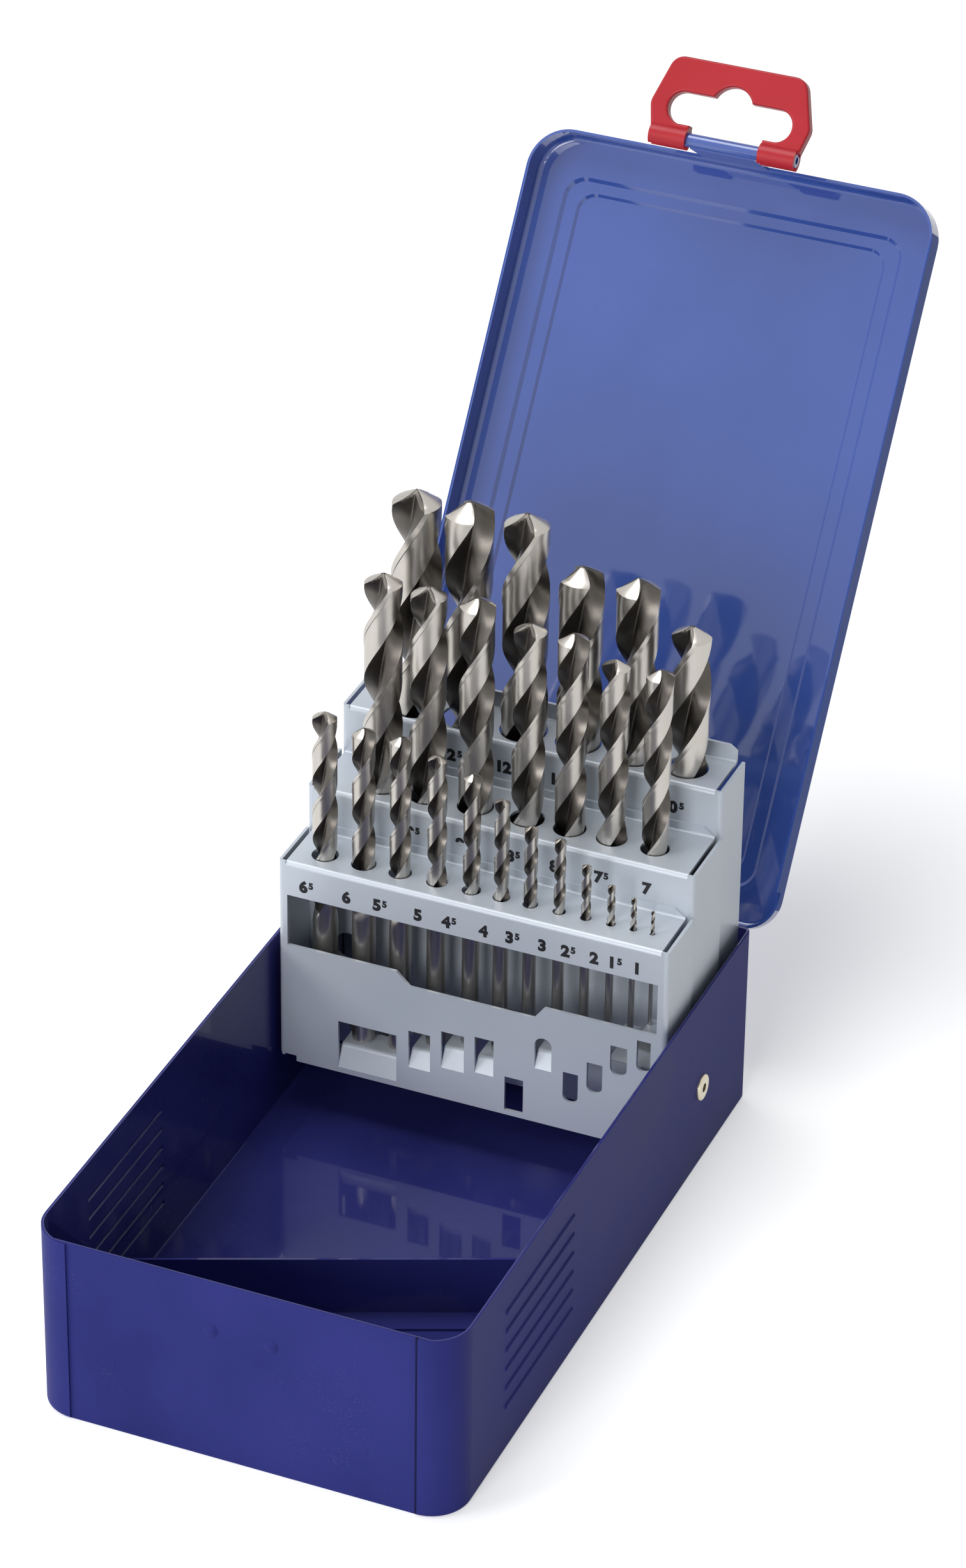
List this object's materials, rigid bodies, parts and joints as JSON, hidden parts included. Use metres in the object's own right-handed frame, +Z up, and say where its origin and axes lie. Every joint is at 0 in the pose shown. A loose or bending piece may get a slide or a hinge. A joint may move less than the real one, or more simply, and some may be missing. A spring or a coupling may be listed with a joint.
{
  "type": "drill bit case",
  "caption": "Folded-steel index case for twist drills: tray with hinged pan lid, a stepped rack that swings upright, sliding drills and a clip-on slotted hanger.",
  "frame": {"origin": "middle of the tray's flat underside", "axes": "+Z up with the case standing on a bench, +Y towards the lid hinge, +X to the right seen from the front"},
  "size_m": [0.1124, 0.3163, 0.2306],
  "materials": {
    "blue_paint": "gloss",
    "rack_paint": "satin",
    "red_plastic": "gloss",
    "drill_steel": "ground",
    "steel_pin": "satin",
    "washer_steel": "satin",
    "rivet_brass": "plated"
  },
  "bodies": {
    "tray": {"tray_shell": "blue_paint", "bit_stop": "blue_paint", "hinge_leaf": "blue_paint", "hinge_pin": "steel_pin", "pivot_rivet_left": "rivet_brass", "pivot_rivet_right": "rivet_brass", "pivot_washer_left": "washer_steel", "pivot_washer_right": "washer_steel"},
    "lid": {"lid": "blue_paint"},
    "hanger": {"hanger": "red_plastic"},
    "rack": {"front_bracket": "rack_paint", "middle_bracket": "rack_paint", "rear_bracket": "rack_paint"},
    "drill_06_5": {"drill_06_5": "drill_steel"},
    "drill_06_0": {"drill_06_0": "drill_steel"},
    "drill_05_5": {"drill_05_5": "drill_steel"},
    "drill_05_0": {"drill_05_0": "drill_steel"},
    "drill_04_5": {"drill_04_5": "drill_steel"},
    "drill_04_0": {"drill_04_0": "drill_steel"},
    "drill_03_5": {"drill_03_5": "drill_steel"},
    "drill_03_0": {"drill_03_0": "drill_steel"},
    "drill_02_5": {"drill_02_5": "drill_steel"},
    "drill_02_0": {"drill_02_0": "drill_steel"},
    "drill_01_5": {"drill_01_5": "drill_steel"},
    "drill_01_0": {"drill_01_0": "drill_steel"},
    "drill_10_0": {"drill_10_0": "drill_steel"},
    "drill_09_5": {"drill_09_5": "drill_steel"},
    "drill_09_0": {"drill_09_0": "drill_steel"},
    "drill_08_5": {"drill_08_5": "drill_steel"},
    "drill_08_0": {"drill_08_0": "drill_steel"},
    "drill_07_5": {"drill_07_5": "drill_steel"},
    "drill_07_0": {"drill_07_0": "drill_steel"},
    "drill_13_0": {"drill_13_0": "drill_steel"},
    "drill_12_5": {"drill_12_5": "drill_steel"},
    "drill_12_0": {"drill_12_0": "drill_steel"},
    "drill_11_5": {"drill_11_5": "drill_steel"},
    "drill_11_0": {"drill_11_0": "drill_steel"},
    "drill_10_5": {"drill_10_5": "drill_steel"}
  },
  "joints": [
    {"name": "lid_hinge", "type": "hinge", "parent": "tray", "child": "lid", "pos_m": [0, 0.0995, 0.045], "axis": [1, 0, 0], "range_deg": [0, 124.65]},
    {"name": "rack_fold", "type": "hinge", "parent": "tray", "child": "rack", "pos_m": [0, 0.0627, 0.0239], "axis": [1, 0, 0], "range_deg": [0, 90]},
    {"name": "hanger_pivot", "type": "hinge", "parent": "lid", "child": "hanger", "pos_m": [0, 0.20444, 0.21267], "axis": [1, 0, 0], "range_deg": [0, 90]},
    {"name": "drill_06_5_lift", "type": "slide", "parent": "rack", "child": "drill_06_5", "axis": [0, 0, -1], "range_m": [-0.0587, 0]},
    {"name": "drill_06_0_lift", "type": "slide", "parent": "rack", "child": "drill_06_0", "axis": [0, 0, -1], "range_m": [-0.0528, 0]},
    {"name": "drill_05_5_lift", "type": "slide", "parent": "rack", "child": "drill_05_5", "axis": [0, 0, -1], "range_m": [-0.0528, 0]},
    {"name": "drill_05_0_lift", "type": "slide", "parent": "rack", "child": "drill_05_0", "axis": [0, 0, -1], "range_m": [-0.0488, 0]},
    {"name": "drill_04_5_lift", "type": "slide", "parent": "rack", "child": "drill_04_5", "axis": [0, 0, -1], "range_m": [-0.0457, 0]},
    {"name": "drill_04_0_lift", "type": "slide", "parent": "rack", "child": "drill_04_0", "axis": [0, 0, -1], "range_m": [-0.046, 0]},
    {"name": "drill_03_5_lift", "type": "slide", "parent": "rack", "child": "drill_03_5", "axis": [0, 0, -1], "range_m": [-0.0469, 0]},
    {"name": "drill_03_0_lift", "type": "slide", "parent": "rack", "child": "drill_03_0", "axis": [0, 0, -1], "range_m": [-0.0395, 0]},
    {"name": "drill_02_5_lift", "type": "slide", "parent": "rack", "child": "drill_02_5", "axis": [0, 0, -1], "range_m": [-0.0412, 0]},
    {"name": "drill_02_0_lift", "type": "slide", "parent": "rack", "child": "drill_02_0", "axis": [0, 0, -1], "range_m": [-0.0374, 0]},
    {"name": "drill_01_5_lift", "type": "slide", "parent": "rack", "child": "drill_01_5", "axis": [0, 0, -1], "range_m": [-0.0306, 0]},
    {"name": "drill_01_0_lift", "type": "slide", "parent": "rack", "child": "drill_01_0", "axis": [0, 0, -1], "range_m": [-0.0271, 0]},
    {"name": "drill_10_0_lift", "type": "slide", "parent": "rack", "child": "drill_10_0", "axis": [0, 0, -1], "range_m": [-0.0713, 0]},
    {"name": "drill_09_5_lift", "type": "slide", "parent": "rack", "child": "drill_09_5", "axis": [0, 0, -1], "range_m": [-0.0642, 0]},
    {"name": "drill_09_0_lift", "type": "slide", "parent": "rack", "child": "drill_09_0", "axis": [0, 0, -1], "range_m": [-0.0642, 0]},
    {"name": "drill_08_5_lift", "type": "slide", "parent": "rack", "child": "drill_08_5", "axis": [0, 0, -1], "range_m": [-0.0602, 0]},
    {"name": "drill_08_0_lift", "type": "slide", "parent": "rack", "child": "drill_08_0", "axis": [0, 0, -1], "range_m": [-0.0602, 0]},
    {"name": "drill_07_5_lift", "type": "slide", "parent": "rack", "child": "drill_07_5", "axis": [0, 0, -1], "range_m": [-0.057, 0]},
    {"name": "drill_07_0_lift", "type": "slide", "parent": "rack", "child": "drill_07_0", "axis": [0, 0, -1], "range_m": [-0.057, 0]},
    {"name": "drill_13_0_lift", "type": "slide", "parent": "rack", "child": "drill_13_0", "axis": [0, 0, -1], "range_m": [-0.0882, 0]},
    {"name": "drill_12_5_lift", "type": "slide", "parent": "rack", "child": "drill_12_5", "axis": [0, 0, -1], "range_m": [-0.0882, 0]},
    {"name": "drill_12_0_lift", "type": "slide", "parent": "rack", "child": "drill_12_0", "axis": [0, 0, -1], "range_m": [-0.0882, 0]},
    {"name": "drill_11_5_lift", "type": "slide", "parent": "rack", "child": "drill_11_5", "axis": [0, 0, -1], "range_m": [-0.0907, 0]},
    {"name": "drill_11_0_lift", "type": "slide", "parent": "rack", "child": "drill_11_0", "axis": [0, 0, -1], "range_m": [-0.0907, 0]},
    {"name": "drill_10_5_lift", "type": "slide", "parent": "rack", "child": "drill_10_5", "axis": [0, 0, -1], "range_m": [-0.0918, 0]}
  ],
  "couplings": [
    {"joint": "rack_fold", "follows": "lid_hinge", "ratio": 0.722}
  ]
}
